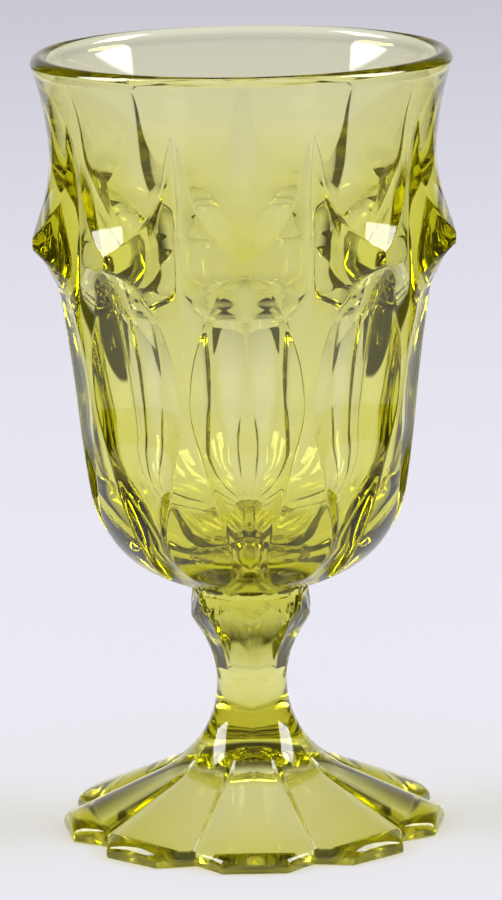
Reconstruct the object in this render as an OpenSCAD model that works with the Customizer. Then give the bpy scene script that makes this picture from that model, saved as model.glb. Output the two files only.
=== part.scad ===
// Footed iced tea glass of pressed coloured glass: a bowl with teeth and ovals, a faceted stem and a
// petal foot, pressed as three pieces and joined hot, face to face, on one upright axis.
// Millimetres, +Z up, origin on the table at the middle of the foot.

/* [Pattern] */
// Number of teeth and ovals round the bowl, facets round the stem and petals round the foot
repeats = 9; // [8:1:12]

/* [Foot] */
// Diameter of the foot across the petal tips
foot_d = 81; // [74:0.5:96]
// Height of the foot from the table to the stem joint
foot_h = 31; // [24:0.5:36]
// Thickness of the glass at the edge of the petals
petal_edge = 3.2; // [2:0.1:5]
// Width of the flat end of each petal
petal_flat = 13.6; // [9:0.2:16]
// How far the notches between the petals reach in from the tips
notch_depth = 4.8; // [2:0.1:6]
// Depth of the valley between two petals, at the notch
valley_depth = 2; // [0.5:0.1:2.4]
// Rise of the petals from the valleys, in degrees
valley_rise = 14; // [6:0.5:20]
// Radius of the hollow sweep from the neck out to the petals
foot_sweep_r = 20.5; // [15:0.5:24]
// Least thickness of the glass between the bottom of the sweep and the hollow under it
sweep_wall = 4; // [3:0.1:8]
// Diameter of the hollow under the foot at the table
hollow_d = 65; // [54:0.5:67]
// Height of the hollow under the foot
hollow_h = 18; // [8:0.5:20]
// Radius of the rounded tip of the hollow under the foot
hollow_tip_r = 5; // [2:0.5:8]

/* [Stem] */
// Height of the stem from the foot joint to the bowl joint
stem_h = 20; // [18:0.5:36]
// Diameter of the stem at its narrowest
neck_d = 14.8; // [12:0.2:18]
// Diameter of the collar across its corners
collar_d = 26.6; // [23:0.2:32]
// Diameter of the top of the stem, where the bowl is joined on
joint_d = 24; // [20:0.2:26]
// Height of the bevel above the collar's widest line
collar_bevel = 4.8; // [2:0.1:6]
// Lean of the bevel's facets from upright, in degrees
facet_lean = 11.5; // [8:0.5:30]
// Width of each bevel facet at the collar's widest line
facet_w = 3.2; // [2:0.1:5]
// Height above the foot joint at which the flats of the neck start
flat_rise = 7; // [4:0.5:9]

/* [Bowl] */
// Height of the bowl from the stem joint to the rim
bowl_h = 114; // [106:0.5:140]
// Outer diameter of the rim
rim_d = 87.4; // [84:0.2:100]
// Thickness of the rounded lip
lip_t = 3.8; // [3:0.1:4.6]
// How far the lip stands proud of the wall below it, inside and outside
lip_proud = 0.3; // [0.2:0.05:0.6]
// How far the lip flares out past the top of the wall
lip_flare = 3.5; // [1.2:0.1:4]
// Drop from the rim to where the flare starts, above the teeth
flare_drop = 21.5; // [12:0.5:24]
// How much the wall draws in from the flare down to the round of the base
wall_taper = 7.1; // [5:0.1:11]
// Lean of the wall from upright where it meets the round of the base, in degrees
wall_lean = 10; // [9:0.5:12]
// Radius of the round between the wall and the base
base_round_r = 23; // [18:0.5:26]
// Height of the round of the base above the stem joint
pad_h = 2.4; // [1.5:0.1:5]
// Height of the short upright band at the stem joint
seat_h = 1; // [0.6:0.1:1.4]

/* [Bowl inside] */
// Thickness of the wall where the flare starts
wall_top_t = 5; // [3.9:0.1:7.5]
// Thickness of the wall at the round of the base
wall_low_t = 6.1; // [4:0.1:8]
// Thickness of the solid glass between the inside and the stem joint
base_t = 13; // [9:0.5:18]
// Radius of the round at the bottom of the inside
inside_round_r = 20; // [12:0.5:24]

/* [Teeth and ovals] */
// Drop from the rim to the tips of the teeth at the waist
waist_drop = 39; // [34:0.5:46]
// How far the teeth stand out past the wall
waist_proud = 6; // [3:0.1:7]
// Drop from the rim to the upper ends of the notches between the teeth
notch_drop = 14; // [11:0.5:19]
// Depth of the notches below the wall at their lower ends
notch_dip = 0.4; // [0.2:0.1:0.8]
// Rise of the sides of the notches, in degrees
notch_rise = 22.5; // [12:0.5:26]
// Drop from the rim to the lower edge of the swelling that carries the teeth, where the notches end
swelling_drop = 52; // [50:0.5:58]
// Drop from the rim to the middle of the ovals
oval_drop = 66; // [62:0.5:76]
// Depth of the ovals below the wall, at their middle
oval_cut = 3.4; // [1.2:0.1:4]
// Radius, seen from the side, of the hollow of the ovals
oval_wheel_r = 200; // [150:5:500]
// Radius, seen from the side, of the arch under each tooth
arch_r = 20; // [12:0.5:28]
// Radius, seen from above, of the hollow of the ovals
oval_across_r = 40; // [30:1:80]
// Depth of the strips that run on from the ovals round the base
strip_cut = 0.85; // [0.5:0.05:1.4]
// Radius, across them, of the hollow of the strips
strip_across_r = 13; // [9:0.5:20]

/* [Hidden] */
$fn = 144;

pitch = 360 / repeats;
glass = "#b7b64a";
// Spare length that cutters and hollows reach past the glass
clear = 20;
// Spare height on the ring that the teeth are cut from, and spare glass on the foot past its petals
// and on the collar past its corners
ring_spare = 2;
petal_spare = 2;
collar_spare = 1;
// How far the notches of the bowl and the valleys of the foot run on past the ends of their bed
notch_run = 3;
valley_run = 0.5;
// How far outside the hollow sweep of the foot the valleys end, and outside the stem joint the strips
valley_stop = 1.5;
strip_stop = 2.5;
// Turns a drawing of profile radius and height into one that stands up in the radial plane
upright = [90, 0, 0];

// Radii and heights of the foot
foot_r = foot_d / 2;
neck_r = neck_d / 2;
notch_r = foot_r - notch_depth;
hollow_r = hollow_d / 2;
hollow_tip_at = [0, hollow_h - hollow_tip_r];
hollow_end = tangent_point(hollow_tip_at, hollow_tip_r, [hollow_r, 0], 1);
hollow_rise = atan2(hollow_end.y, hollow_r - hollow_end.x);
sweep_room = foot_h * cos(hollow_rise) - (hollow_r - neck_r) * sin(hollow_rise) - sweep_wall;
sweep_r = min(foot_sweep_r, sweep_room / (1 - sin(hollow_rise)));
sweep_at = [neck_r + sweep_r, foot_h];
sweep_end = tangent_point(sweep_at, sweep_r, [foot_r, petal_edge], -1);
petal_slope = (sweep_end.y - petal_edge) / (foot_r - sweep_end.x);
blank_end = [foot_r, petal_edge] + petal_spare * [1, -petal_slope];
valley_low = [notch_r, petal_edge + notch_depth * petal_slope - valley_depth];
valley_top = sweep_end + valley_stop * [1, -petal_slope];

// Radii and heights of the stem
stem_top = foot_h + stem_h;
collar_r = collar_d / 2;
collar_z = stem_top - collar_bevel;
collar_flat = collar_r * cos(pitch / 2);
collar_h = collar_z - foot_h;
facet_r = collar_r - facet_w / 2 * tan(pitch / 2);
blank_r = collar_r + collar_spare;
blank_z = collar_z + collar_spare / 2;
neck_sweep_r = sweep_radius(blank_r - neck_r, blank_z - foot_h);
flat_start_r = neck_r + neck_sweep_r - sqrt(neck_sweep_r * neck_sweep_r - flat_rise * flat_rise);
flat_wheel_x = level_middle([flat_start_r, flat_rise], [collar_flat, collar_h]);
flat_wheel_r = norm([flat_wheel_x - collar_flat, collar_h]);

// Radii and heights of the bowl's outside
rim_z = stem_top + bowl_h;
rim_r = rim_d / 2;
lip_r = lip_t / 2;
lip_z = rim_z - lip_r;
wall_end = [rim_r - lip_proud, lip_z];
flare_at = [rim_r - lip_flare, rim_z - flare_drop];
round_z = stem_top + pad_h + base_round_r * (1 - sin(wall_lean));
round_at = [flare_at.x - wall_taper, round_z];
into_base = [-cos(wall_lean), sin(wall_lean)];
wall_arc_r = touching_radius(round_at, into_base, flare_at);
wall_arc_at = round_at + wall_arc_r * into_base;
base_round_at = round_at + base_round_r * into_base;
seat_at = [joint_d / 2, stem_top + seat_h];
seat_end = tangent_point(base_round_at, base_round_r, seat_at, 1);
flare_r = touching_radius(flare_at, out_of_wall(flare_at), wall_end);
flare_arc_at = flare_at + flare_r * out_of_wall(flare_at);

// Teeth at the waist, and the wheels that hollow the ovals
waist_z = rim_z - waist_drop;
tooth_at = [wall_r(waist_z) + waist_proud, waist_z];
tooth_sweep_r = sweep_radius(tooth_at.x - flare_at.x, flare_at.y - waist_z);
tooth_sweep_at = flare_at + [tooth_sweep_r, 0];
ring_z = waist_z - ring_spare;
ring_at = [tooth_sweep_at.x - sqrt(pow(tooth_sweep_r, 2) - pow(flare_at.y - ring_z, 2)), ring_z];
oval_z = rim_z - oval_drop;
oval_out = out_of_wall([wall_r(oval_z), oval_z]);
oval_wheel_at = [wall_r(oval_z), oval_z] + (oval_wheel_r - oval_cut) * oval_out;
arch_at = lower_meeting(oval_wheel_at, oval_wheel_r - arch_r, tooth_at, arch_r);
arch_end = arch_at + arch_r * (arch_at - oval_wheel_at) / norm(arch_at - oval_wheel_at);
notch_top_z = rim_z - notch_drop;
notch_top = [flare_arc_at.x - sqrt(flare_r * flare_r - pow(notch_top_z - flare_arc_at.y, 2)), notch_top_z];
swelling_z = rim_z - swelling_drop;
notch_low = [wall_r(swelling_z) - notch_dip, swelling_z];
oval_axis_x = wall_r(oval_z) - oval_cut + oval_across_r;

// Radii and heights of the bowl's inside
inside_top = [flare_at.x - wall_top_t, flare_at.y];
inside_end = [rim_r - lip_t + lip_proud, lip_z];
inside_low = [round_at.x - wall_low_t, stem_top + base_t + inside_round_r];
inside_round_at = inside_low - [inside_round_r, 0];

// Radius of the circle whose arc goes in by depth over a run that starts level with its bed
function sweep_radius(depth, run) = (depth * depth + run * run) / (2 * depth);

// Radius of the circle that touches direction out at point a, on its outer side, and passes through b
function touching_radius(a, out, b) = (b - a) * (b - a) / (2 * ((b - a) * out));

// Radius of the middle, level with height 0, of the circle through points a and b
function level_middle(a, b) = (b * b - a * a) / (2 * (b.x - a.x));

// Point where a tangent from p touches the circle at c with radius r, on the right for side 1, else -1
function tangent_point(c, r, p, side) =
    let (away = p - c, turn = atan2(away.y, away.x) + side * acos(r / norm(away)))
    c + r * [cos(turn), sin(turn)];

// Lower meeting point of the circle at a with radius ra and the circle at b with radius rb
function lower_meeting(a, ra, b, rb) =
    let (span = norm(a - b), along = (a - b) / span)
    let (foot_of = (rb * rb - ra * ra + span * span) / (2 * span))
    let (aside = sqrt(rb * rb - foot_of * foot_of))
    b + foot_of * along + aside * [along.y, -along.x];

// Outside radius of the plain wall at height z
function wall_r(z) = wall_arc_at.x + sqrt(pow(wall_arc_r, 2) - pow(z - wall_arc_at.y, 2));

// Direction square to the wall, away from the glass, at a point on it
function out_of_wall(p) = (p - wall_arc_at) / norm(p - wall_arc_at);

// Copies of the children, one for each repeat, the first turned by start degrees
module round_the_glass(start = 0) {
    for (i = [0 : repeats - 1]) rotate(start + i * pitch) children();
}

// Open groove whose bed runs from low to high in the radial plane and on past both by run
module groove(low, high, rise, run) {
    way = high - low;
    reach = clear * tan(rise);
    translate([low.x, 0, low.y]) rotate([0, atan2(way.x, way.y), 0]) translate([0, 0, -run])
        linear_extrude(norm(way) + 2 * run)
            polygon([[0, 0], [reach, -clear], [reach + clear, 0], [reach, clear]]);
}

// Right half of the drawing between two heights
module between(z_low, z_high, width) {
    translate([0, z_low]) square([width, z_high - z_low]);
}

// Foot: plain swept body from the table up to the stem joint
module foot_profile() {
    difference() {
        union() {
            polygon([[0, 0], [blank_end.x, 0], blank_end, sweep_end, [0, sweep_end.y]]);
            between(sweep_end.y, foot_h, sweep_end.x);
        }
        intersection() {
            translate(sweep_at) circle(sweep_r);
            between(sweep_end.y, foot_h + clear, foot_r);
        }
    }
}

// Foot: cone with a rounded tip, taken out from under it
module foot_hollow() {
    polygon([[0, -clear], [hollow_r, -clear], [hollow_r, 0], hollow_end, [0, hollow_end.y]]);
    intersection() {
        translate(hollow_tip_at) circle(hollow_tip_r);
        between(hollow_end.y, hollow_h, hollow_tip_r);
    }
}

// Foot: outline of the petals seen from above
module petal_outline() {
    flat_turn = asin(petal_flat / foot_d);
    polygon([
        for (i = [0 : repeats - 1])
            for (corner = [[foot_r, -flat_turn], [foot_r, flat_turn], [notch_r, pitch / 2]])
                corner[0] * [sin(i * pitch + corner[1]), -cos(i * pitch + corner[1])]
    ]);
}

module foot() {
    color(glass) difference() {
        intersection() {
            rotate_extrude() foot_profile();
            linear_extrude(foot_h) petal_outline();
        }
        rotate_extrude() foot_hollow();
        round_the_glass(pitch / 2 - 90) groove(valley_low, valley_top, valley_rise, valley_run);
    }
}

// Stem: plain waisted body from the foot joint up to the bowl joint
module stem_profile() {
    difference() {
        between(foot_h, stem_top, blank_r);
        intersection() {
            translate([neck_r + neck_sweep_r, foot_h]) circle(neck_sweep_r, $fn = 4 * $fn);
            between(foot_h - clear, blank_z, blank_r + clear);
        }
    }
}

// Stem: side view of what one flat takes away from the neck
module neck_flat_profile() {
    intersection() {
        translate([flat_wheel_x, foot_h]) circle(flat_wheel_r, $fn = 2 * $fn);
        between(foot_h, stem_top, collar_r + clear);
    }
}

// Stem: side view of what one flat takes away from the collar above its widest line
module collar_flat_profile() {
    translate([collar_flat, collar_z - collar_bevel / 2]) square([clear, 2 * collar_bevel]);
}

// Stem: flats under the bowl's ribs part the neck, then bevels take off the collar's corners
module stem() {
    color(glass) difference() {
        difference() {
            difference() {
                rotate_extrude() stem_profile();
                round_the_glass(pitch / 2 - 90) across() collar_flat_profile();
            }
            round_the_glass(pitch / 2 - 90) across() neck_flat_profile();
        }
        round_the_glass() translate([0, -facet_r, collar_z]) rotate([-facet_lean, 0, 0])
            translate([-clear, -clear, -collar_bevel]) cube([2 * clear, clear, 2 * collar_bevel + clear]);
    }
}

// Bowl: outside of the plain body, with a ring from which the teeth are cut
module bowl_outline() {
    polygon([[0, stem_top], [seat_at.x, stem_top], seat_at, seat_end, [0, seat_end.y]]);
    intersection() {
        translate(base_round_at) circle(base_round_r);
        between(seat_end.y, round_at.y, rim_r);
    }
    between(seat_end.y, round_at.y, base_round_at.x);
    intersection() {
        translate(wall_arc_at) circle(wall_arc_r, $fn = 20 * $fn);
        between(round_at.y, flare_at.y, rim_r + clear);
    }
    difference() {
        between(flare_at.y, lip_z, wall_end.x);
        translate(flare_arc_at) circle(flare_r, $fn = 2 * $fn);
    }
    difference() {
        between(ring_z, flare_at.y, ring_at.x);
        translate(tooth_sweep_at) circle(tooth_sweep_r, $fn = 2 * $fn);
    }
    polygon([[0, swelling_z], [wall_r(swelling_z), swelling_z], ring_at, [0, ring_z]]);
}

// Bowl: rounded lip
module lip_profile() {
    translate([rim_r - lip_r, lip_z]) circle(lip_r);
}

// Bowl: inside, open at the top
module bowl_inside() {
    polygon([[0, inside_low.y], inside_low, inside_top, inside_end, [0, lip_z]]);
    intersection() {
        translate(inside_round_at) circle(inside_round_r);
        between(stem_top + base_t, inside_low.y, rim_r);
    }
    between(stem_top + base_t, inside_low.y, inside_round_at.x);
}

// Bowl: side view of what one oval takes away
module oval_cut_profile() {
    translate(arch_at) circle(arch_r);
    intersection() {
        translate(oval_wheel_at) circle(oval_wheel_r, $fn = 10 * $fn);
        between(stem_top - clear, arch_end.y, rim_r + clear);
    }
}

// Side view carried sideways, square to the radial plane
module across() {
    rotate(upright) translate([0, 0, -clear]) linear_extrude(2 * clear) children();
}

// Bowl: plain turned body, before its pattern
module plain_bowl() {
    rotate_extrude() {
        difference() {
            bowl_outline();
            bowl_inside();
        }
        lip_profile();
    }
}

// Bowl: what one oval takes away, hollow across as well as along
module oval() {
    translate([oval_axis_x, 0, 0]) rotate_extrude() intersection() {
        translate([oval_axis_x, 0]) mirror([1, 0]) oval_cut_profile();
        between(stem_top - clear, rim_z, oval_axis_x);
    }
}

// Bowl: what one strip takes away along the round of the base
module strip() {
    strip_in = seat_at.x + strip_stop;
    intersection() {
        translate([base_round_at.x, 0, base_round_at.y]) rotate(upright) rotate_extrude()
            translate([base_round_r - strip_cut + strip_across_r, 0]) circle(strip_across_r);
        translate([strip_in, -clear, base_round_at.y - 2 * base_round_r])
            cube([base_round_r + 2 * clear, 2 * clear, 2 * base_round_r]);
    }
}

// Bowl: notches part the ring into teeth, an oval is hollowed under each tooth, then its strip
module bowl() {
    color(glass) difference() {
        difference() {
            difference() {
                plain_bowl();
                round_the_glass(pitch / 2 - 90) groove(notch_low, notch_top, notch_rise, notch_run);
            }
            round_the_glass(-90) oval();
        }
        round_the_glass(-90) strip();
    }
}

bowl();
stem();
foot();
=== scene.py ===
"""Footed iced tea glass of olive green pressed glass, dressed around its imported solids.

The bowl, the stem and the foot are closed surfaces of two parameters: the way round the glass and the way
along the outline of the piece. Sizes are in millimetres, and meshes are in metres, +Z up, table at z 0.
"""

import logging
import math
from dataclasses import dataclass
from enum import Enum
from typing import Any

import bpy
import numpy as np
from mathutils import Matrix, Vector


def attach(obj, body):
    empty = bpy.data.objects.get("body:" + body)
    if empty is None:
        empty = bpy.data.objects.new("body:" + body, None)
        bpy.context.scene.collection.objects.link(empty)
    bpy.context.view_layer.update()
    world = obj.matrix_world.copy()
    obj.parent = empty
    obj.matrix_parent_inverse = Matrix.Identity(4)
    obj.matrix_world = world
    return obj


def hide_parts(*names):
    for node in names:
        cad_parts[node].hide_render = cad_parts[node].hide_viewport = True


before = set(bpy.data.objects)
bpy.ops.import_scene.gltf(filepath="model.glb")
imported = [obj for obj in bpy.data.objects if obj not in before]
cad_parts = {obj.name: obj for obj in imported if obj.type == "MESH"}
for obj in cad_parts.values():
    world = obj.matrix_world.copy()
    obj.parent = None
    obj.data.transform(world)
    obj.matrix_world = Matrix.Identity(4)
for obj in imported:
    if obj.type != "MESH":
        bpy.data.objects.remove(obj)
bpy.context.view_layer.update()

# Metres in a millimetre
MM = 0.001
# Repeats of the pattern round the glass: teeth and ovals, flats of the stem and petals of the foot
REPEATS = 9
# Radius in millimetres that lies outside every piece
FAR = 1000.0
# Angle in degrees past which an edge stays sharp, as round the joints
SHARP_ANGLE = 50.0
# Halvings of a panel's half width that find the rim of its oval
HALVINGS = 30
# Faces of glass that light may pass, and mirrorings that it may take
GLASS_BOUNCES = 32
MIRROR_BOUNCES = 16
LOG = logging.getLogger("iced_tea_glass")


class Slot(Enum):
    """Material slots of the record, one for each piece of glass."""

    BOWL = "bowl_glass"
    STEM = "stem_glass"
    FOOT = "foot_glass"


class Side(Enum):
    """Side of the camera on which a softbox stands; the value is its sign along X."""

    LEFT = -1
    RIGHT = 1


def linear(colour: str) -> tuple[float, float, float, float]:
    """Turn an sRGB hex colour into linear light.

    Args:
        colour: Hex colour such as "#b7b64a".

    Returns:
        Linear red, green and blue, and an alpha of 1.
    """
    parts = np.array([int(colour[i : i + 2], 16) for i in (1, 3, 5)]) / 255
    light = np.where(parts <= 0.04045, parts / 12.92, ((parts + 0.055) / 1.055) ** 2.4)
    return (float(light[0]), float(light[1]), float(light[2]), 1.0)


def add_node(
    tree: bpy.types.NodeTree,
    kind: str,
    settings: dict[str, Any] | None = None,
    inputs: dict[Any, Any] | None = None,
) -> bpy.types.Node:
    """Add a node with its settings, and set or link its inputs.

    Args:
        tree: Node tree that gets the node.
        kind: Blender's name of the node's type.
        settings: Values for the node's own properties.
        inputs: For each input's name or number, a value or the output socket that feeds it.

    Returns:
        The new node.
    """
    node = tree.nodes.new(kind)
    for name, value in (settings or {}).items():
        setattr(node, name, value)
    for name, value in (inputs or {}).items():
        if isinstance(value, bpy.types.NodeSocket):
            tree.links.new(value, node.inputs[name])
        else:
            node.inputs[name].default_value = value
    return node


def zone(
    tree: bpy.types.NodeTree, *limits: tuple[bpy.types.NodeSocket, tuple[float, float]]
) -> bpy.types.NodeSocket:
    """Add a mask, which is the product of one smooth step for each limit.

    Args:
        tree: Node tree that gets the mask.
        limits: For each limit, the output socket with its value, and the values where its step is 0 and 1.

    Returns:
        Output socket with the mask.
    """
    mask: Any = 1.0
    for value, (none, full) in limits:
        step = add_node(
            tree, "ShaderNodeMapRange", {"interpolation_type": "SMOOTHSTEP"},
            {"Value": value, "From Min": none, "From Max": full},
        )
        both = {0: mask, 1: step.outputs["Result"]}
        mask = add_node(tree, "ShaderNodeMath", {"operation": "MULTIPLY"}, both).outputs[0]
    return mask


def soft_min(a: np.ndarray, b: np.ndarray, blend: float | np.ndarray) -> np.ndarray:
    """Smaller of two surfaces, with the edge where they meet rounded off.

    Inside the blend width, a square of what is left of the width is taken off the smaller one.

    Args:
        a: First surface.
        b: Second surface.
        blend: Difference of the two surfaces, in millimetres, at which the rounding starts.

    Returns:
        The rounded smaller surface.
    """
    left = np.clip(blend - np.abs(a - b), 0, None) / blend
    return np.minimum(a, b) - left * left * blend / 4


def soft_max(a: np.ndarray, b: np.ndarray, blend: float | np.ndarray) -> np.ndarray:
    """Larger of two surfaces, with the edge where they meet filled in."""
    return -soft_min(-a, -b, blend)


def arc(centre: tuple[float, float], radius: float, start: float, end: float, count: int) -> np.ndarray:
    """Points on a circle's arc in the plane of radius and height.

    Args:
        centre: Radius and height of the circle's middle.
        radius: Radius of the circle.
        start: Angle of the first point, in degrees from the outward direction.
        end: Angle of the last point.
        count: Number of points.

    Returns:
        Array of count rows of radius and height.
    """
    turn = np.radians(np.linspace(start, end, count))
    return np.stack([centre[0] + radius * np.cos(turn), centre[1] + radius * np.sin(turn)], axis=1)


def line(start: tuple[float, float], end: tuple[float, float], count: int) -> np.ndarray:
    """Evenly spaced points from start to end, as rows of radius and height."""
    share = np.linspace(0, 1, count)[:, None]
    return (1 - share) * np.array(start) + share * np.array(end)


def chain(*runs: np.ndarray) -> np.ndarray:
    """Runs of points joined end to end, each run after the first without its first point."""
    return np.concatenate([runs[0], *[run[1:] for run in runs[1:]]])


def hollow(bed: float, wheel: float, middle: float, height: np.ndarray) -> np.ndarray:
    """Side view of a hollow pressed by a wheel: a circle's near side, and far away past its ends.

    Args:
        bed: Radius of the glass at the deepest line.
        wheel: Radius of the wheel.
        middle: Height of the deepest line.
        height: Heights to give the hollow at.

    Returns:
        Radius of the hollow at each height.
    """
    room = wheel**2 - (height - middle) ** 2
    return np.where(room > 0, bed + wheel - np.sqrt(np.clip(room, 0, None)), FAR)


def ease(share: np.ndarray) -> np.ndarray:
    """Smooth step from 0 to 1 as share goes from 0 to 1, level at both ends."""
    held = np.clip(share, 0, 1)
    return held * held * (3 - 2 * held)


def round_about(run: np.ndarray, turn: np.ndarray) -> np.ndarray:
    """One column of values repeated for every angle round the axis."""
    return np.repeat(run[:, None], len(turn), axis=1)


def sweep_radius(depth: float, run: float) -> float:
    """Radius of the circle whose arc goes in by depth over a run that starts level with its bed."""
    return (depth * depth + run * run) / (2 * depth)


def panel_angle(columns: int) -> tuple[np.ndarray, np.ndarray]:
    """Angles of the columns of a piece of glass.

    Args:
        columns: Number of columns round the piece.

    Returns:
        Angle of each column round the axis, with a panel's middle at the front, and its angle from the
        middle of its own panel, in radians.
    """
    turn = np.arange(columns) * 2 * np.pi / columns
    pitch = 2 * np.pi / REPEATS
    local = (turn + pitch / 2) % pitch - pitch / 2
    return turn - np.pi / 2, local


def closed_turning(
    name: str, radius: np.ndarray, height: np.ndarray, turn: np.ndarray, joints: np.ndarray
) -> bpy.types.Object:
    """Closed mesh from rings of points, with a pole at each end.

    Row i and column j stand at (radius cos turn, radius sin turn, height). The first and last rows are
    poles, each kept as one vertex with a fan of triangles, and the last column joins the first.

    Args:
        name: Name of the object.
        radius: Radii in millimetres, rows along the outline and columns round the axis.
        height: Heights in millimetres, in the same layout.
        turn: Angle of each column, in radians, or of each point in the same layout.
        joints: For each band between two rows, 1 where its faces are a hot joint, and 0 elsewhere.

    Returns:
        The object, smooth but for the sharp rims of its joints.
    """
    rows, columns = radius.shape
    points = np.stack([radius * np.cos(turn), radius * np.sin(turn), height], axis=2) * MM
    rings = points[1:-1].reshape(-1, 3)
    vertices = np.concatenate([points[0, :1], rings, points[-1, :1]])
    here = np.arange(columns)
    beside = (here + 1) % columns
    low = 1 + np.arange(rows - 3)[:, None] * columns
    quads = np.stack([low + here, low + beside, low + columns + beside, low + columns + here], axis=2)
    top_ring = 1 + (rows - 3) * columns
    first_fan = np.stack([np.zeros_like(here), 1 + beside, 1 + here], axis=1)
    last_fan = np.stack([np.full_like(here, len(vertices) - 1), top_ring + here, top_ring + beside], axis=1)
    corners = np.concatenate([first_fan.ravel(), quads.ravel(), last_fan.ravel()])
    sizes = np.concatenate([np.full(columns, 3), np.full(columns * (rows - 3), 4), np.full(columns, 3)])
    mesh = bpy.data.meshes.new(name)
    mesh.vertices.add(len(vertices))
    mesh.vertices.foreach_set("co", vertices.astype(np.float32).ravel())
    mesh.loops.add(len(corners))
    mesh.loops.foreach_set("vertex_index", corners.astype(np.int32))
    mesh.polygons.add(len(sizes))
    mesh.polygons.foreach_set("loop_start", (np.cumsum(sizes) - sizes).astype(np.int32))
    mesh.update(calc_edges=True)
    joint = mesh.attributes.new("hot_joint", "FLOAT", "FACE")
    joint.data.foreach_set("value", np.repeat(joints, columns).astype(np.float32))
    mesh.shade_smooth()
    mesh.set_sharp_from_angle(angle=math.radians(SHARP_ANGLE))
    mesh.validate()
    piece = bpy.data.objects.new(name, mesh)
    bpy.context.scene.collection.objects.link(piece)
    return piece


@dataclass(frozen=True)
class PressedGlass:
    """Pressed soda-lime glass, coloured olive green in the melt and fire polished.

    Light passes through and bends at each face. The colour is in the body of the glass, so a thin wall
    is pale and a thick base is deep, and the faces keep the slight ripple of the iron mould. Where the
    soft glass was drawn, as on the neck, upright streaks break up what shows through it. They are drawn
    coarser than real ones, so that they show.
    """

    name: str
    shade: str
    body_colour: str = "#f2f143"
    density_per_m: float = 108.0
    ior: float = 1.51
    roughness: float = 0.0
    ripple_mm: float = 9.0
    ripple_height_mm: float = 0.012
    ripple_detail: float = 1.0
    streak_mm: float = 2.6
    streak_length_mm: float = 45.0
    streak_height_mm: float = 0.0
    streak_detail: float = 0.6
    streak_z_mm: tuple[float, float] = (34.0, 42.0)

    def material(self) -> bpy.types.Material:
        """Make the material.

        Returns:
            Glass that shows straight through where the attribute hot_joint marks a joint, and lets the
            light of the lamps through to the table.
        """
        material = bpy.data.materials.new(self.name)
        material.use_nodes = True
        tree = material.node_tree
        tree.nodes.clear()
        place = add_node(tree, "ShaderNodeTexCoord").outputs["Object"]
        ripple = add_node(
            tree, "ShaderNodeTexNoise", None,
            {"Vector": place, "Scale": 1 / (self.ripple_mm * MM), "Detail": self.ripple_detail},
        )
        bump = add_node(
            tree, "ShaderNodeBump", None,
            {"Height": ripple.outputs["Fac"], "Distance": self.ripple_height_mm * MM},
        )
        if self.streak_height_mm > 0:
            bump = self.streaked(tree, place, bump)
        glass = add_node(
            tree,
            "ShaderNodeBsdfPrincipled",
            None,
            {
                "Base Color": (1.0, 1.0, 1.0, 1.0),
                "Roughness": self.roughness,
                "IOR": self.ior,
                "Transmission Weight": 1.0,
                "Normal": bump.outputs["Normal"],
            },
        )
        joint = add_node(tree, "ShaderNodeAttribute", {"attribute_name": "hot_joint"})
        path = add_node(tree, "ShaderNodeLightPath")
        lights_table = add_node(
            tree, "ShaderNodeMath", {"operation": "MAXIMUM"},
            {0: path.outputs["Is Shadow Ray"], 1: path.outputs["Is Diffuse Ray"]},
        )
        open_to_light = add_node(
            tree, "ShaderNodeMath", {"operation": "MAXIMUM"},
            {0: joint.outputs["Fac"], 1: lights_table.outputs[0]},
        )
        tint = add_node(
            tree, "ShaderNodeMix", {"data_type": "RGBA"},
            {0: lights_table.outputs[0], 6: (1.0, 1.0, 1.0, 1.0), 7: linear(self.shade)},
        )
        through = add_node(tree, "ShaderNodeBsdfTransparent", None, {"Color": tint.outputs[2]})
        surface = add_node(
            tree, "ShaderNodeMixShader", None,
            {0: open_to_light.outputs[0], 1: glass.outputs["BSDF"], 2: through.outputs["BSDF"]},
        )
        body = add_node(
            tree, "ShaderNodeVolumeAbsorption", None,
            {"Color": linear(self.body_colour), "Density": self.density_per_m},
        )
        add_node(
            tree, "ShaderNodeOutputMaterial", None,
            {"Surface": surface.outputs["Shader"], "Volume": body.outputs["Volume"]},
        )
        return material

    def streaked(
        self, tree: bpy.types.NodeTree, place: bpy.types.NodeSocket, ripple: bpy.types.Node
    ) -> bpy.types.Node:
        """Add the streaks: noise drawn out along Z, which fades in as the neck goes up.

        Args:
            tree: Node tree that gets the streaks.
            place: Output socket with the place on the piece.
            ripple: Bump node of the ripple that lies under the streaks.

        Returns:
            Bump node with the ripple and the streaks.
        """
        fine, long = 1 / (self.streak_mm * MM), 1 / (self.streak_length_mm * MM)
        drawn = add_node(tree, "ShaderNodeMapping", None, {"Vector": place, "Scale": (fine, fine, long)})
        streaks = add_node(
            tree, "ShaderNodeTexNoise", None,
            {"Vector": drawn.outputs[0], "Scale": 1.0, "Detail": self.streak_detail},
        )
        axes = add_node(tree, "ShaderNodeSeparateXYZ", None, {0: place})
        low, high = self.streak_z_mm
        height = add_node(
            tree, "ShaderNodeMath", {"operation": "MULTIPLY"},
            {0: streaks.outputs["Fac"], 1: zone(tree, (axes.outputs["Z"], (low * MM, high * MM)))},
        )
        return add_node(
            tree,
            "ShaderNodeBump",
            None,
            {
                "Height": height.outputs[0],
                "Distance": self.streak_height_mm * MM,
                "Normal": ripple.outputs["Normal"],
            },
        )


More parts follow.
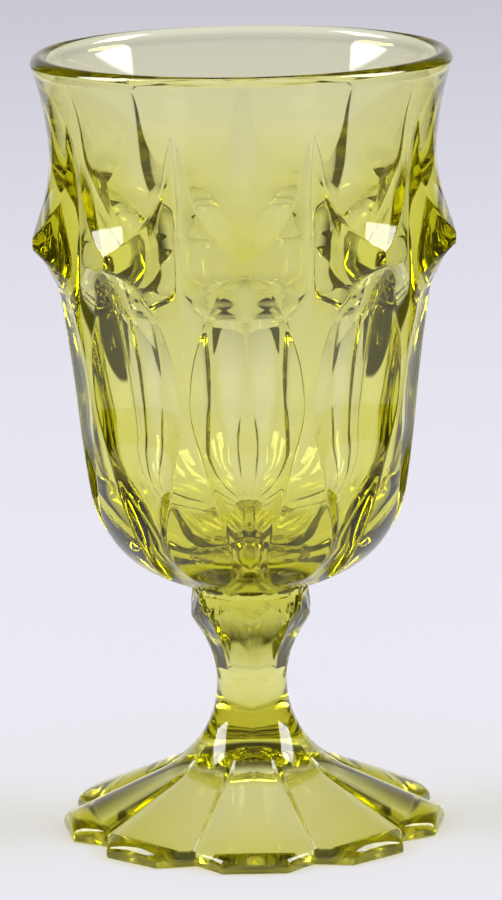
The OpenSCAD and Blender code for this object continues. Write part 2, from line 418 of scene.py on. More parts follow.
@dataclass
class GlassPiece:
    """One pressed piece of the glass, which stands for its CAD node."""

    node: str
    slot: Slot
    finish: PressedGlass
    columns: int
    joint_gap: float = 0.02
    joint_rows: int = 4

    def surface(self) -> tuple[np.ndarray, np.ndarray, np.ndarray, np.ndarray]:
        """Give the piece's rows of radii and heights, its columns' angles and its joint bands."""
        raise NotImplementedError

    def build(self) -> bpy.types.Object:
        """Build the closed mesh and set it on the frame.

        Returns:
            The object, which rides on the root body and stands for the CAD node.
        """
        radius, height, turn, joints = self.surface()
        piece = closed_turning(self.node + "_glass", radius, height, turn, joints)
        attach(piece, "root")
        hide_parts(self.node)
        return piece

    def dress(self, piece: bpy.types.Object) -> None:
        """Give the piece its finish."""
        piece.data.materials.append(self.finish.material())


@dataclass
class Bowl(GlassPiece):
    """Cup with a ring of pointed teeth, tall ovals under them, a rounded lip and a thick round base."""

    bottom_z: float = 51.0
    rim_z: float = 165.0
    rim_r: float = 43.7
    lip_t: float = 3.8
    flare: float = 3.5
    flare_z: float = 143.5
    taper: float = 7.1
    lean: float = 10.0
    round_r: float = 23.0
    pad_h: float = 2.4
    joint_r: float = 12.0
    seat_h: float = 1.06
    seat_r: float = 12.2
    seat_turn: float = 23.6
    waist_z: float = 126.0
    tooth_r: float = 45.4
    tooth_run: float = 3.0
    notch_rise: float = 0.42
    notch_dip: float = 1.0
    notch_z: float = 137.0
    notch_half: float = 16.0
    notch_low_z: float = 113.0
    oval_z: float = 95.0
    oval_cut: float = 1.9
    oval_wheel: float = 330.0
    arch_r: float = 20.0
    strip_z: float = 64.0
    strip_low_z: float = 60.0
    strip_top_z: float = 83.0
    strip_cut: float = 0.18
    strip_growth: float = 0.0104
    strip_power: float = 1.52
    strip_blend: float = 0.4
    level_z: float = 90.0
    level_run: float = 15.0
    oval_across: float = 40.0
    strip_across: float = 6.0
    strip_across_z: tuple[float, float] = (66.0, 88.0)
    strip_end_z: tuple[float, float] = (53.0, 60.0)
    oval_round: float = 0.2
    polish: float = 0.05
    tooth_polish: float = 0.4
    rim_share: tuple[float, float] = (0.12, 0.95)
    crease: float = 0.012
    inside_top: tuple[float, float] = (35.5, 146.0)
    inside_low: tuple[float, float] = (27.0, 84.0)
    inside_round: float = 20.0
    floor_z: float = 64.0
    rows_seat: int = 4
    rows_slope: int = 8
    rows_base: int = 28
    rows_wall: int = 96
    rows_lip: int = 17
    rows_mouth: int = 12
    rows_inside: int = 16
    rows_floor: int = 4
    crowd: float = 1.6
    crowd_z: float = 123.0
    crowd_half: float = 11.0
    samples_wall: int = 400
    samples_flare: int = 80
    samples_rows: int = 2000

    def wall(self) -> tuple[np.ndarray, np.ndarray, float]:
        """Circle of the plain wall, which touches the round of the base and runs up to the flare.

        Returns:
            Point where the wall meets the base round, middle of the wall's circle, and its radius.
        """
        lean = math.radians(self.lean)
        start_z = self.bottom_z + self.pad_h + self.round_r * (1 - math.sin(lean))
        start = np.array([self.rim_r - self.flare - self.taper, start_z])
        inward = np.array([-math.cos(lean), math.sin(lean)])
        span = np.array([self.rim_r - self.flare, self.flare_z]) - start
        radius = float(span @ span / (2 * span @ inward))
        return start, start + radius * inward, radius

    def wall_radius(self, height: float) -> float:
        """Radius of the plain wall at a height."""
        _, middle, radius = self.wall()
        return float(middle[0] + math.sqrt(radius**2 - (height - middle[1]) ** 2))

    def outside(self) -> np.ndarray:
        """Outline of the plain outside, from the joint's rim up to the lip.

        A short band and a slope lead to the round of the base. The wall is a wide arc that touches it, and
        the flare an arc, bent the other way, that touches the wall.

        Returns:
            Rows of radius and height.
        """
        start, middle, radius = self.wall()
        lean = math.radians(self.lean)
        base_at = start + self.round_r * np.array([-math.cos(lean), math.sin(lean)])
        base = arc(tuple(base_at), self.round_r, self.seat_turn - 90, -self.lean, self.rows_base)
        seat = (self.seat_r, self.bottom_z + self.seat_h)
        low = line((self.joint_r, self.bottom_z + self.joint_gap / 2), seat, self.rows_seat)
        slope = line(seat, tuple(base[0]), self.rows_slope)
        heights = np.linspace(start[1], self.flare_z, self.samples_wall)
        wall = np.stack([middle[0] + np.sqrt(radius**2 - (heights - middle[1]) ** 2), heights], axis=1)
        top = np.array([self.rim_r - self.flare, self.flare_z])
        lip = np.array([self.rim_r, self.rim_z - self.lip_t / 2])
        out = (top - middle) / np.linalg.norm(top - middle)
        flare_r = float((lip - top) @ (lip - top) / (2 * (lip - top) @ out))
        flare_at = top + flare_r * out
        rise = np.linspace(self.flare_z, lip[1], self.samples_flare)
        flare = np.stack([flare_at[0] - np.sqrt(flare_r**2 - (rise - flare_at[1]) ** 2), rise], axis=1)
        fine = chain(wall, flare)
        heights = self.wall_heights(start[1], lip[1])
        side = np.stack([np.interp(heights, fine[:, 1], fine[:, 0]), heights], axis=1)
        return chain(low, slope, base, side)

    def wall_heights(self, low: float, high: float) -> np.ndarray:
        """Heights of the wall's rows, closest together round the teeth.

        Args:
            low: Lowest height.
            high: Highest height.

        Returns:
            Heights whose spacing falls to less than half near the teeth, along a bell curve.
        """
        fine = np.linspace(low, high, self.samples_rows)
        near = 1 + self.crowd * np.exp(-(((fine - self.crowd_z) / self.crowd_half) ** 2))
        share = np.concatenate([[0], np.cumsum((near[1:] + near[:-1]) / 2)])
        return np.interp(np.linspace(0, share[-1], self.rows_wall), share, fine)

    def inside(self) -> np.ndarray:
        """Outline of the lip and of the inside, down to its middle.

        The lip is half a circle. The mouth bends out with the square of the way up, the side is a slope, and
        the bottom an arc that ends in a level floor.

        Returns:
            Rows of radius and height.
        """
        lip_r = self.lip_t / 2
        mouth_z = self.rim_z - lip_r
        lip = arc((self.rim_r - lip_r, mouth_z), lip_r, 0, 180, self.rows_lip)
        top, low = np.array(self.inside_top), np.array(self.inside_low)
        slope = (top[0] - low[0]) / (top[1] - low[1])
        lean = math.degrees(math.atan(slope))
        rise = np.linspace(0, 1, self.rows_mouth)
        mouth_r = self.rim_r - self.lip_t
        bend = mouth_r - top[0] - slope * (mouth_z - top[1])
        flare = np.stack(
            [
                top[0] + slope * (mouth_z - top[1]) * (1 - rise) + bend * (1 - rise) ** 2,
                mouth_z + (top[1] - mouth_z) * rise,
            ],
            axis=1,
        )
        round_z = self.floor_z + self.inside_round
        touch_z = round_z - self.inside_round * math.sin(math.radians(lean))
        touch_r = low[0] + slope * (touch_z - low[1])
        round_at = (touch_r - self.inside_round * math.cos(math.radians(lean)), round_z)
        side = line(tuple(top), (touch_r, touch_z), self.rows_inside)
        bottom = arc(round_at, self.inside_round, -lean, -90, self.rows_inside)
        floor = line((round_at[0], self.floor_z), (0.0, self.floor_z), self.rows_floor)
        return chain(lip, flare, side, bottom, floor)

    def lands(self, plain: np.ndarray, local: np.ndarray) -> np.ndarray:
        """How far the glass between the ovals stands out from the plain wall.

        It keeps the wall at a rib line. Between the waist teeth it is a notch, V-shaped across, whose bed
        dips a little below the wall and whose sides fade away under the waist.

        Args:
            plain: Outline of the plain outside, as rows of radius and height.
            local: Angles from the middle of the panel, rows by columns.

        Returns:
            Distance out of the wall, rows by columns.
        """
        radius, height = plain[:, :1], plain[:, 1:]
        from_rib = np.pi / REPEATS - np.abs(local)
        aside = radius * np.sin(np.sqrt(from_rib**2 + self.crease**2) - self.crease)
        below = 1 - ease((self.waist_z - height) / (self.waist_z - self.notch_low_z))
        dip = np.clip(1 - ((height - self.notch_z) / self.notch_half) ** 2, 0, None)
        return self.notch_rise * below * aside - self.notch_dip * dip

    def beds(self, plain: np.ndarray, out: np.ndarray, local: np.ndarray) -> np.ndarray:
        """How far the waist teeth and the beds of the ovals stand out from the plain wall.

        Above the waist, the wall sweeps out, round the glass, to the tips of the teeth. An oval below, hollow
        across and along, meets it at the tip. Its curve across tightens downwards into the strip on the base,
        and eases off again at the seat.

        Args:
            plain: Outline of the plain outside, as rows of radius and height.
            out: Share of a radius that counts square to the surface, for each row.
            local: Angles from the middle of the panel, rows by columns.

        Returns:
            Distance out of the wall, rows by columns, less than 0 inside it.
        """
        radius, height = plain[:, :1], plain[:, 1:]
        top_r = self.rim_r - self.flare
        sweep = sweep_radius(self.tooth_r - top_r, self.flare_z - self.waist_z)
        tooth_z = np.clip(height, self.waist_z - self.tooth_run, self.flare_z)
        tooth = hollow(top_r, sweep, self.flare_z, tooth_z) - radius
        tooth = np.where(height < self.flare_z, tooth, 0)
        strip = self.strip_depth(height)
        oval = soft_min(radius - self.oval_bed(height), strip, self.strip_blend)
        oval = np.where(height < self.strip_top_z, strip, oval)
        low_z, high_z = self.strip_across_z
        end_z, full_z = self.strip_end_z
        tight = 1 - ease((height - low_z) / (high_z - low_z))
        tight = tight * ease((height - end_z) / (full_z - end_z))
        curve = 1 / self.oval_across + (1 / self.strip_across - 1 / self.oval_across) * tight
        deep = oval + soft_max(oval, 0 * oval, self.oval_round) * radius / out * curve
        across = radius * out * (1 / np.cos(local) - 1) + (radius * np.sin(local)) ** 2 / 2 * curve
        return soft_min(tooth + 0 * local, across - deep, self.tooth_polish)

    def patterned(self, plain: np.ndarray, share: np.ndarray) -> tuple[np.ndarray, np.ndarray, np.ndarray]:
        """Press the pattern into the plain outside.

        What is left of the lands and the beds is the smaller one. The columns are spread so that one of them
        runs on each rim of the teeth and ovals, found by halving. The pattern is measured out from the plain
        wall, level on the wall and square to the surface on the round of the base, and ends below the lip.

        Args:
            plain: Outline of the plain outside, as rows of radius and height.
            share: Place of each column in its panel, from -1 at one rib line to 1 at the next.

        Returns:
            Radii, heights and angles from the middle of the panel, rows by columns.
        """
        radius, height = plain[:, :1], plain[:, 1:]
        along = np.gradient(plain, axis=0)
        along /= np.linalg.norm(along, axis=1)[:, None]
        low = ease((self.level_z - height) / self.level_run)
        out = 1 + low * (along[:, 1:] - 1)
        rib = np.pi / REPEATS
        near, far = np.zeros_like(radius), np.full_like(radius, rib)
        for _ in range(HALVINGS):
            half = (near + far) / 2
            inside = self.lands(plain, half) > self.beds(plain, out, half)
            near, far = np.where(inside, half, near), np.where(inside, far, half)
        top = ease((height - self.notch_z - self.notch_half) / self.level_run)
        rim = np.clip(near, self.rim_share[0] * rib, self.rim_share[1] * rib)
        rim = rim + (rib / 2 - rim) * top
        away = np.abs(share)[None, :]
        local = np.where(away < 0.5, 2 * away * rim, rim + (2 * away - 1) * (rib - rim)) * np.sign(share)
        pressed = soft_min(self.lands(plain, local), self.beds(plain, out, local), self.polish)
        pressed = np.where(height < self.notch_z + self.notch_half, pressed, 0)
        return radius + pressed * out, height - pressed * low * along[:, :1], local

    def strip_depth(self, height: np.ndarray) -> np.ndarray:
        """Depth to which the lower end of an oval narrows into a strip that runs on to the stem.

        Args:
            height: Heights on the plain outside.

        Returns:
            Depth below the plain outside, which grows with a power of the height past either end.
        """
        over = np.clip(height - self.strip_z, 0, None)
        under = np.clip(self.strip_low_z - height, 0, None)
        return self.strip_cut + self.strip_growth * (over**self.strip_power + under**self.strip_power)

    def oval_bed(self, height: np.ndarray) -> np.ndarray:
        """Side view of the bed of the lower ovals.

        A wide wheel hollows the oval, and a small arch rises from it, touching it, to the tip of the tooth.

        Args:
            height: Heights to give the bed at.

        Returns:
            Radius of the bed at each height.
        """
        _, middle, _ = self.wall()
        on_wall = np.array([self.wall_radius(self.oval_z), self.oval_z])
        out = (on_wall - middle) / np.linalg.norm(on_wall - middle)
        wheel_at = on_wall + (self.oval_wheel - self.oval_cut) * out
        tip = np.array([self.tooth_r, self.waist_z])
        reach = self.oval_wheel - self.arch_r
        span = float(np.linalg.norm(wheel_at - tip))
        along = (wheel_at - tip) / span
        near = (self.arch_r**2 - reach**2 + span**2) / (2 * span)
        aside = math.sqrt(self.arch_r**2 - near**2)
        arch_at = tip + near * along + aside * np.array([along[1], -along[0]])
        touch_z = arch_at[1] + self.arch_r * (arch_at[1] - wheel_at[1]) / reach
        wide = hollow(wheel_at[0] - self.oval_wheel, self.oval_wheel, wheel_at[1], height)
        arch = hollow(arch_at[0] - self.arch_r, self.arch_r, arch_at[1], height)
        return np.where(height <= touch_z, wide, arch)

    def surface(self) -> tuple[np.ndarray, np.ndarray, np.ndarray, np.ndarray]:
        """Give the bowl's surface, from the middle of its joint up the outside and down the inside.

        Returns:
            Radii and heights by row and column, the angle of each column, and the joint bands.
        """
        turn, even = panel_angle(self.columns)
        outside, inside = self.outside(), self.inside()
        seat = line((0.0, self.bottom_z + self.joint_gap / 2), tuple(outside[0]), self.joint_rows)
        pressed = self.patterned(outside, even * REPEATS / np.pi)
        radius, height = (
            np.concatenate([round_about(seat[:-1, i], turn), pressed[i], round_about(inside[1:, i], turn)])
            for i in (0, 1)
        )
        shift = np.zeros_like(radius)
        shift[len(seat) - 1 :][: len(outside)] = pressed[2] - even
        turn = turn + shift
        joints = np.zeros(len(radius) - 1)
        joints[: len(seat) - 1] = 1
        return radius, height, turn, joints


@dataclass
class Stem(GlassPiece):
    """Short waisted stem with a nine-sided neck and a bevelled collar under the bowl."""

    low_z: float = 31.0
    top_z: float = 51.0
    neck_r: float = 7.4
    collar_r: float = 13.3
    collar_z: float = 46.2
    blank: tuple[float, float] = (14.3, 46.7)
    flat_r: float = 7.05
    flat_low_z: float = 34.0
    facet_w: float = 3.2
    facet_lean: float = 11.5
    flat_blend: float = 2.0
    flat_fade: float = 0.5
    polish: float = 0.2
    rows_neck: int = 72
    rows_bevel: int = 20

    def surface(self) -> tuple[np.ndarray, np.ndarray, np.ndarray, np.ndarray]:
        """Give the stem's surface: a hollow sweep from the neck to the collar, with flats and bevels.

        The neck has a flat under each rib line of the bowl, which fades out downwards. Between them, leaning
        bevels cut the collar's corners from its widest line up to the joint. The smallest is left.

        Returns:
            Radii and heights by row and column, the angle of each column, and the joint bands.
        """
        turn, local = panel_angle(self.columns)
        rib = math.pi / REPEATS
        low, top = self.low_z + self.joint_gap / 2, self.top_z - self.joint_gap / 2
        heights = np.concatenate(
            [
                np.linspace(low, self.collar_z, self.rows_neck),
                np.linspace(self.collar_z, top, self.rows_bevel)[1:],
            ]
        )[:, None]
        sweep_r = sweep_radius(self.blank[0] - self.neck_r, self.blank[1] - self.low_z)
        plain = hollow(self.neck_r, sweep_r, self.low_z, np.minimum(heights, self.blank[1]))
        collar = self.collar_r * math.cos(rib)
        wheel = sweep_radius(collar - self.flat_r, self.collar_z - self.low_z)
        fade = ease((self.flat_low_z - heights) / (self.flat_low_z - self.low_z))
        flat = hollow(self.flat_r, wheel, self.low_z, heights) + self.flat_fade * fade
        flat = soft_min(flat, collar + 0 * heights, self.flat_blend) / np.cos(rib - np.abs(local))
        bevel = self.collar_r - self.facet_w / 2 * math.tan(rib)
        bevel = (bevel - (heights - self.collar_z) * math.tan(math.radians(self.facet_lean))) / np.cos(local)
        body = soft_min(soft_min(plain + 0 * local, flat, self.polish), bevel, self.polish)
        share = np.linspace(0, 1, self.joint_rows)[:-1, None]
        radius = np.concatenate([share * body[:1], body, share[::-1] * body[-1:]])
        height = np.concatenate([np.full(len(share), low), heights[:, 0], np.full(len(share), top)])
        joints = np.zeros(len(radius) - 1)
        joints[: len(share)] = 1
        joints[-len(share) :] = 1
        return radius, round_about(height, turn), turn, joints


@dataclass
class Foot(GlassPiece):
    """Flared foot with nine petals, valleys between them and a hollow underside."""

    foot_r: float = 40.5
    top_z: float = 31.0
    neck_r: float = 7.4
    sweep_r: float = 20.5
    edge_h: float = 3.2
    petal_flat: float = 13.6
    notch: float = 4.8
    valley_depth: float = 2.4
    valley_top_r: float = 11.0
    valley_power: float = 2.2
    hollow_r: float = 32.5
    hollow_h: float = 16.5
    hollow_tip: float = 5.0
    rim_round: float = 2.4
    edge_round: float = 0.6
    petal_start_r: float = 16.0
    crease: float = 0.006
    groove_depth: float = 0.35
    groove_half: float = 0.8
    groove_run: float = 5.0
    crowd: float = 1.4
    polish: float = 0.3
    dome_crowd: float = 0.8
    sweep_turn: float = 66.0
    rows_dome: int = 44
    rows_ring: int = 7
    rows_petal: int = 64
    rows_sweep: int = 48
    rows_edge_round: int = 6
    rows_rim_round: int = 9

    def top_height(self, radius: np.ndarray) -> np.ndarray:
        """Height of the plain top at a radius: a hollow sweep from the neck, then a cone to the petal tips.

        Args:
            radius: Radii to give the height at.

        Returns:
            Height at each radius.
        """
        at = np.array([self.neck_r + self.sweep_r, self.top_z])
        away = np.array([self.foot_r, self.edge_h]) - at
        turn = math.atan2(away[1], away[0]) - math.acos(self.sweep_r / np.linalg.norm(away))
        end = at + self.sweep_r * np.array([math.cos(turn), math.sin(turn)])
        slope = (end[1] - self.edge_h) / (self.foot_r - end[0])
        room = np.clip(self.sweep_r**2 - (at[0] - radius) ** 2, 0, None)
        return np.where(radius < end[0], at[1] - np.sqrt(room), self.edge_h + (self.foot_r - radius) * slope)

    def edge_radius(self, local: np.ndarray) -> np.ndarray:
        """Radius of the petal edge: a flat end, and slanting sides that run in to the notches.

        Args:
            local: Angle of each column from the middle of its petal.

        Returns:
            Radius of the edge at each column.
        """
        flat = math.asin(self.petal_flat / 2 / self.foot_r)
        rib = math.pi / REPEATS
        tip = self.foot_r * np.array([math.cos(flat), math.sin(flat)])
        notch = (self.foot_r - self.notch) * np.array([math.cos(rib), math.sin(rib)])
        side = (notch - tip) / np.linalg.norm(notch - tip)
        square = np.array([side[1], -side[0]])
        out = math.atan2(square[1], square[0])
        reach = float(tip @ square)
        away = np.sqrt((rib - np.abs(local)) ** 2 + self.crease**2)
        slant = reach / np.cos(rib - away - out)
        return soft_min(tip[0] / np.cos(local), slant, self.polish)

    def hollow_height(self, radius: np.ndarray) -> np.ndarray:
        """Height of the hollow under the foot: a cone with a rounded tip, which is a turned hyperbola.

        Args:
            radius: Radii to give the height at.

        Returns:
            Height at each radius.
        """
        far = self.hollow_h + self.hollow_tip
        slope = math.sqrt(far**2 - self.hollow_tip**2) / self.hollow_r
        return far - np.sqrt(self.hollow_tip**2 + (slope * radius) ** 2)

    def surface(self) -> tuple[np.ndarray, np.ndarray, np.ndarray, np.ndarray]:
        """Give the foot's surface, from the middle of the hollow out to the petals and up to the joint.

        The top is a sweep and a cone, with a valley sunk in it on each rib line. The petal edge is upright,
        with a narrow round at the table and a wide one at the top. The columns crowd towards the valleys.

        Returns:
            Radii and heights by row and column, the angle of each column, and the joint bands.
        """
        turn, even = panel_angle(self.columns)
        rib = math.pi / REPEATS
        local = np.sign(even) * rib * (1 - (1 - np.abs(even) / rib) ** self.crowd)
        turn = turn + local - even
        edge = self.edge_radius(local)[None, :]
        narrow, wide = self.edge_round, self.rim_round
        slope = float(self.top_height(np.array(self.foot_r - 1)) - self.top_height(np.array(self.foot_r)))
        lean = math.atan(slope)
        dome_r = np.linspace(0, 1, self.rows_dome) ** self.dome_crowd * self.hollow_r
        dome_z = self.hollow_height(dome_r)
        share = np.linspace(0, 1, self.rows_ring)[1:, None]
        ring_r = self.hollow_r + share * (edge - narrow - self.hollow_r)
        bend = np.radians(np.linspace(self.sweep_turn, 0.0, self.rows_sweep))
        inner = self.neck_r + self.sweep_r - self.sweep_r * np.cos(bend)
        outer = np.linspace(self.foot_r, inner[0], self.rows_petal)
        plain = np.concatenate([outer[:-1], inner])[:, None]
        fade = np.clip((plain - self.petal_start_r) / (self.foot_r - self.petal_start_r), 0, 1)
        top_r = plain - fade * fade * (self.foot_r - edge + wide * (1 - math.sin(lean)))
        top_z = np.minimum(self.pressed_top(top_r, local), self.top_z - self.joint_gap / 2)
        low_turn = np.radians(np.linspace(-90, 0, self.rows_edge_round))[1:, None]
        up_turn = np.linspace(0, math.pi / 2 - lean, self.rows_rim_round)[:-1, None]
        cap_r = np.linspace(self.neck_r, 0, self.joint_rows)[1:]
        radius = [
            round_about(dome_r, turn),
            ring_r,
            edge - narrow + narrow * np.cos(low_turn),
            edge - wide + wide * np.cos(up_turn),
            top_r,
            round_about(cap_r, turn),
        ]
        height = [
            round_about(dome_z, turn),
            np.zeros_like(ring_r),
            narrow + narrow * np.sin(low_turn) + 0 * edge,
            top_z[:1] - wide * math.cos(lean) + wide * np.sin(up_turn),
            top_z,
            np.full((len(cap_r), len(turn)), self.top_z - self.joint_gap / 2),
        ]
        joints = np.zeros(sum(len(part) for part in radius) - 1)
        joints[-len(cap_r) :] = 1
        return np.concatenate(radius), np.concatenate(height), turn, joints

    def pressed_top(self, radius: np.ndarray, local: np.ndarray) -> np.ndarray:
        """Height of the top with its valleys.

        The depth below the crown of a petal grows with a power of the way from its middle to the rib line,
        and is largest at the notch. A thin V-shaped groove runs along the bottom of each valley.

        Args:
            radius: Radii, rows by columns.
            local: Angle of each column from the middle of its petal.

        Returns:
            Height at each point.
        """
        rib = math.pi / REPEATS
        reach = self.foot_r - self.notch - self.valley_top_r
        depth = self.valley_depth * np.clip((radius - self.valley_top_r) / reach, 0, None)
        from_rib = np.sqrt((rib - np.abs(local)) ** 2 + self.crease**2) - self.crease
        groove = np.clip(1 - radius * from_rib / self.groove_half, 0, None)
        groove = self.groove_depth * groove * ease((radius - self.valley_top_r) / self.groove_run)
        crown = np.clip(1 - from_rib / rib, 0, None) ** self.valley_power
        return self.top_height(radius) - depth * crown - groove


@dataclass(frozen=True)
class WhiteCard:
    """Matt white card that lies on the table, with painted shade on either side of its lit part.

    It fills the glass with even, pale light. Its colour greys with the distance behind the glass, a painted
    falloff of the light, and it is painted dim in front of the glass, as shade. Past a line at each side it
    is painted dark olive, as shade where the light does not fall; this draws the dark edges in the glass.
    """

    name: str = "matt_white_card"
    near_colour: str = "#f4f3fb"
    # The far colour is a painted falloff of the light, greyer with the distance behind the glass
    far_painted_falloff_colour: str = "#e4e3eb"
    painted_falloff_mm: tuple[float, float] = (50.0, 1500.0)
    lit_x_mm: float = 300.0
    lit_spread: float = 0.1
    lit_run_mm: float = 20.0
    front_mm: float = -200.0
    front_run_mm: float = 100.0
    front_light: float = 0.35
    # Painted shade: dark olive where the light does not fall, past the lit part and in front of the glass
    painted_shade_colour: str = "#55532a"

    def material(self) -> bpy.types.Material:
        """Make the material.

        Returns:
            Matt colour by place: the card's up to a line at each side, which spreads with the distance,
                painted
            shade past it, and a fixed mix of both in front of the glass, also painted shade.
        """
        material = bpy.data.materials.new(self.name)
        material.use_nodes = True
        tree = material.node_tree
        tree.nodes.clear()
        place = add_node(tree, "ShaderNodeTexCoord")
        axes = add_node(tree, "ShaderNodeSeparateXYZ", None, {0: place.outputs["Object"]})
        near, far = (length * MM for length in self.painted_falloff_mm)
        # Painted falloff of the light: the card greys from the near colour to the far one
        back = add_node(
            tree, "ShaderNodeMapRange", None,
            {"Value": axes.outputs["Y"], "From Min": near, "From Max": far},
        )
        colour = add_node(
            tree, "ShaderNodeMix", {"data_type": "RGBA"},
            {0: back.outputs["Result"], 6: linear(self.near_colour), 7: linear(self.far_painted_falloff_colour)},
        )
        aside = add_node(tree, "ShaderNodeMath", {"operation": "ABSOLUTE"}, {0: axes.outputs["X"]})
        past = add_node(
            tree, "ShaderNodeMath", {"operation": "MULTIPLY_ADD"},
            {0: axes.outputs["Y"], 1: -self.lit_spread, 2: aside.outputs[0]},
        )
        front = (self.front_mm * MM, (self.front_mm - self.front_run_mm) * MM)
        side = ((self.lit_x_mm + self.lit_run_mm) * MM, self.lit_x_mm * MM)
        lit = add_node(
            tree,
            "ShaderNodeMix",
            {"data_type": "FLOAT"},
            {
                0: zone(tree, (axes.outputs["Y"], front)),
                2: zone(tree, (past.outputs[0], side)),
                3: self.front_light,
            },
        )
        # Painted shade colour past the lit line at each side, and mixed in front of the glass
        seen = add_node(
            tree, "ShaderNodeMix", {"data_type": "RGBA"},
            {0: lit.outputs[0], 6: linear(self.painted_shade_colour), 7: colour.outputs[2]},
        )
        card = add_node(tree, "ShaderNodeBsdfDiffuse", None, {"Color": seen.outputs[2]})
        add_node(tree, "ShaderNodeOutputMaterial", None, {"Surface": card.outputs["BSDF"]})
        return material


@dataclass(frozen=True)
class Room:
    """Even light on the table, and a room for the camera and the glass to see.

    The room is dark olive at the sides and above, grey in front, with a pale backdrop behind the glass and a
    tall bright patch at each side, a painted reflection of the softboxes. Limits are parts of a direction of
    length 1, or shares of two of them.
    """

    ambient: float = 0.55
    ambient_colour: str = "#fbfaff"
    backdrop_colour: str = "#dfdee6"
    backdrop_back: tuple[float, float] = (0.0, 0.01)
    backdrop_side: tuple[float, float] = (0.8, 0.45)
    backdrop_top: tuple[float, float] = (0.6, 0.0)
    room_colour: str = "#3a3924"
    front_colour: str = "#7c7c80"
    front: tuple[float, float] = (-0.2, -0.6)
    # Tall bright patch at each side: a painted reflection of the softboxes, seen only by the camera,
    # mirrorings and bent light
    reflected_softbox_side: tuple[float, float] = (0.28, 0.24)
    reflected_softbox_low: tuple[float, float] = (0.29, 0.32)
    reflected_softbox_high: tuple[float, float] = (0.84, 0.81)
    reflected_softbox_light: float = 12.0

    def build(self) -> None:
        """Make the world: the camera, mirrorings and bent light see the room, and the rest the even light."""
        world = bpy.data.worlds.new("studio_room")
        bpy.context.scene.world = world
        world.use_nodes = True
        tree = world.node_tree
        tree.nodes.clear()
        place = add_node(tree, "ShaderNodeTexCoord")
        axes = add_node(tree, "ShaderNodeSeparateXYZ", None, {0: place.outputs["Generated"]})
        back, up = axes.outputs["Y"], axes.outputs["Z"]
        aside = add_node(tree, "ShaderNodeMath", {"operation": "ABSOLUTE"}, {0: axes.outputs["X"]}).outputs[0]
        across = add_node(tree, "ShaderNodeMath", {"operation": "DIVIDE"}, {0: aside, 1: back})
        along = add_node(tree, "ShaderNodeMath", {"operation": "DIVIDE"}, {0: back, 1: aside})
        forth = add_node(tree, "ShaderNodeMath", {"operation": "ABSOLUTE"}, {0: along.outputs[0]})
        backdrop = zone(
            tree,
            (back, self.backdrop_back),
            (across.outputs[0], self.backdrop_side),
            (up, self.backdrop_top),
        )
        # Painted reflection of the softboxes, in the room for the camera, mirrorings and bent light
        reflected_softbox = zone(
            tree,
            (forth.outputs[0], self.reflected_softbox_side),
            (up, self.reflected_softbox_low),
            (up, self.reflected_softbox_high),
        )
        white = (self.reflected_softbox_light, self.reflected_softbox_light, self.reflected_softbox_light, 1.0)
        seen: Any = linear(self.room_colour)
        for share, colour in (
            (backdrop, linear(self.backdrop_colour)),
            (zone(tree, (back, self.front)), linear(self.front_colour)),
            (reflected_softbox, white),
        ):
            mixed = add_node(tree, "ShaderNodeMix", {"data_type": "RGBA"}, {0: share, 6: seen, 7: colour})
            seen = mixed.outputs[2]
        path = add_node(tree, "ShaderNodeLightPath")
        looks: Any = 0.0
        for ray in ("Is Camera Ray", "Is Glossy Ray", "Is Transmission Ray"):
            either = {0: looks, 1: path.outputs[ray]}
            looks = add_node(tree, "ShaderNodeMath", {"operation": "MAXIMUM"}, either).outputs[0]
        even = add_node(
            tree, "ShaderNodeBackground", None,
            {"Color": linear(self.ambient_colour), "Strength": self.ambient},
        )
        view = add_node(tree, "ShaderNodeBackground", None, {"Color": seen})
        lit = add_node(
            tree, "ShaderNodeMixShader", None, {0: looks, 1: even.outputs[0], 2: view.outputs[0]}
        )
        add_node(tree, "ShaderNodeOutputWorld", None, {"Surface": lit.outputs[0]})


@dataclass
class Studio:
    """Table with a white card, two softboxes and a room round them."""

    card: WhiteCard = WhiteCard()
    room: Room = Room()
    table_mm: float = 1600.0
    air_gap_mm: float = 0.1
    lamp_watts: float = 20.0
    lamp_size_mm: tuple[float, float] = (800.0, 950.0)
    lamp_at_mm: tuple[float, float, float] = (1860.0, -100.0, 1670.0)
    lamp_aim_mm: float = 80.0

    def build(self) -> None:
        """Build the table, the lamps and the room."""
        self.table()
        for side in Side:
            self.softbox(side)
        self.room.build()

    def table(self) -> bpy.types.Object:
        """Make the table: one square, a hair below the foot, so that light is thrown back inside its rim.

        Returns:
            The table's object.
        """
        side, level = self.table_mm * MM, -self.air_gap_mm * MM
        corners = [(-side, -side, level), (side, -side, level), (side, side, level), (-side, side, level)]
        mesh = bpy.data.meshes.new("table")
        mesh.from_pydata(corners, [], [(0, 1, 2, 3)])
        table = bpy.data.objects.new("table", mesh)
        bpy.context.scene.collection.objects.link(table)
        mesh.materials.append(self.card.material())
        return table

    def softbox(self, side: Side) -> bpy.types.Object:
        """Hang one softbox beside the camera, turned to the glass.

        Args:
            side: Side of the camera.

        Returns:
            The lamp's object.
        """
        light = bpy.data.lights.new("softbox_" + side.name.lower(), "AREA")
        light.shape = "RECTANGLE"
        light.size, light.size_y = (length * MM for length in self.lamp_size_mm)
        light.energy = self.lamp_watts
        lamp = bpy.data.objects.new(light.name, light)
        bpy.context.scene.collection.objects.link(lamp)
        at = Vector(self.lamp_at_mm) * MM
        lamp.location = (side.value * at.x, at.y, at.z)
        aim = Vector((0, 0, self.lamp_aim_mm * MM))
        lamp.rotation_euler = (aim - lamp.location).to_track_quat("-Z", "Y").to_euler()
        lamp.visible_camera = False
        # Mirrorings and bent light see the painted softbox reflection in the room, not this lamp
        lamp.visible_glossy = False
        lamp.visible_transmission = False
        return lamp


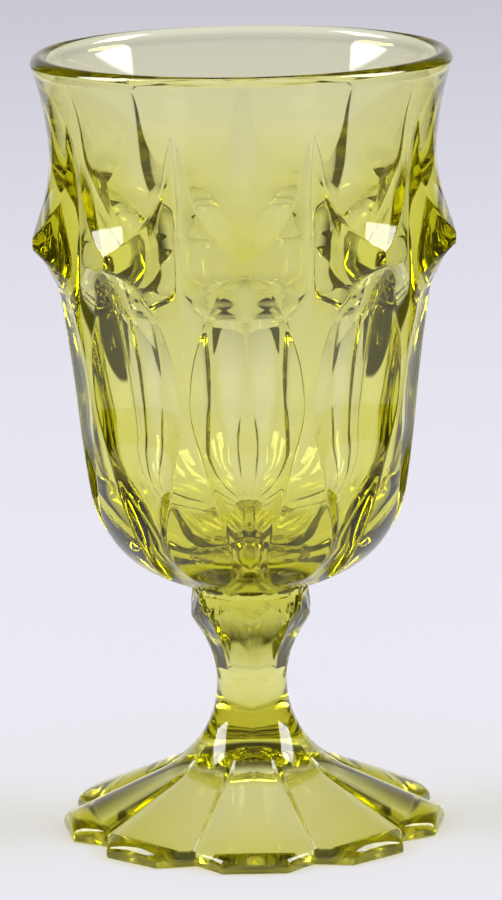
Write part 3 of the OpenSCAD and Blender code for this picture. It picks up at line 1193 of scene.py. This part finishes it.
@dataclass
class Camera:
    """Long lens a little above the glass, which looks down on its mouth."""

    distance_mm: float = 1070.3
    height_mm: float = 302.9
    pitch: float = 11.726
    yaw: float = 0.034
    roll: float = -0.996
    lens_mm: float = 208.62
    sensor_mm: float = 36.0
    clip_end_m: float = 100.0

    def build(self) -> bpy.types.Object:
        """Set up the camera.

        Returns:
            The camera's object, which the scene uses.
        """
        pitch, yaw, roll = (math.radians(angle) for angle in (self.pitch, self.yaw, self.roll))
        ahead = Vector(
            (math.sin(yaw) * math.cos(pitch), math.cos(yaw) * math.cos(pitch), -math.sin(pitch))
        )
        right = ahead.cross(Vector((0, 0, 1))).normalized()
        up = right.cross(ahead)
        turned = math.cos(roll) * right + math.sin(roll) * up
        upright = math.cos(roll) * up - math.sin(roll) * right
        data = bpy.data.cameras.new("camera")
        data.lens = self.lens_mm
        data.sensor_width = self.sensor_mm
        data.clip_end = self.clip_end_m
        camera = bpy.data.objects.new("camera", data)
        bpy.context.scene.collection.objects.link(camera)
        camera.rotation_euler = Matrix((turned, upright, -ahead)).transposed().to_euler()
        camera.location = (0.0, -self.distance_mm * MM, self.height_mm * MM)
        bpy.context.scene.camera = camera
        return camera


def set_light_paths() -> None:
    """Show colours as they are, let light pass many faces of glass and keep stray dots off the table."""
    scene = bpy.context.scene
    scene.view_settings.view_transform = "Standard"
    scene.cycles.max_bounces = GLASS_BOUNCES
    scene.cycles.transmission_bounces = GLASS_BOUNCES
    scene.cycles.glossy_bounces = MIRROR_BOUNCES
    scene.cycles.transparent_max_bounces = GLASS_BOUNCES
    scene.cycles.caustics_reflective = False
    scene.cycles.caustics_refractive = False


def main() -> None:
    """Build the glass and its studio, and report each piece."""
    logging.basicConfig(level=logging.INFO, format="%(name)s: %(message)s")
    pieces = [
        Bowl("bowl", Slot.BOWL, PressedGlass("pressed_soda_lime_glass_bowl", "#f8f8f4"), columns=486),
        Stem(
            "stem",
            Slot.STEM,
            PressedGlass("pressed_soda_lime_glass_stem", "#f4f4ee", streak_height_mm=0.7),
            columns=288,
        ),
        Foot(
            "foot",
            Slot.FOOT,
            PressedGlass("pressed_soda_lime_glass_foot", "#f8f7ee", roughness=0.07),
            columns=432,
        ),
    ]
    for piece in pieces:
        made = piece.build()
        piece.dress(made)
        LOG.info("%s: %d vertices, %d faces", made.name, len(made.data.vertices), len(made.data.polygons))
    Studio().build()
    Camera().build()
    set_light_paths()


if __name__ == "__main__":
    main()
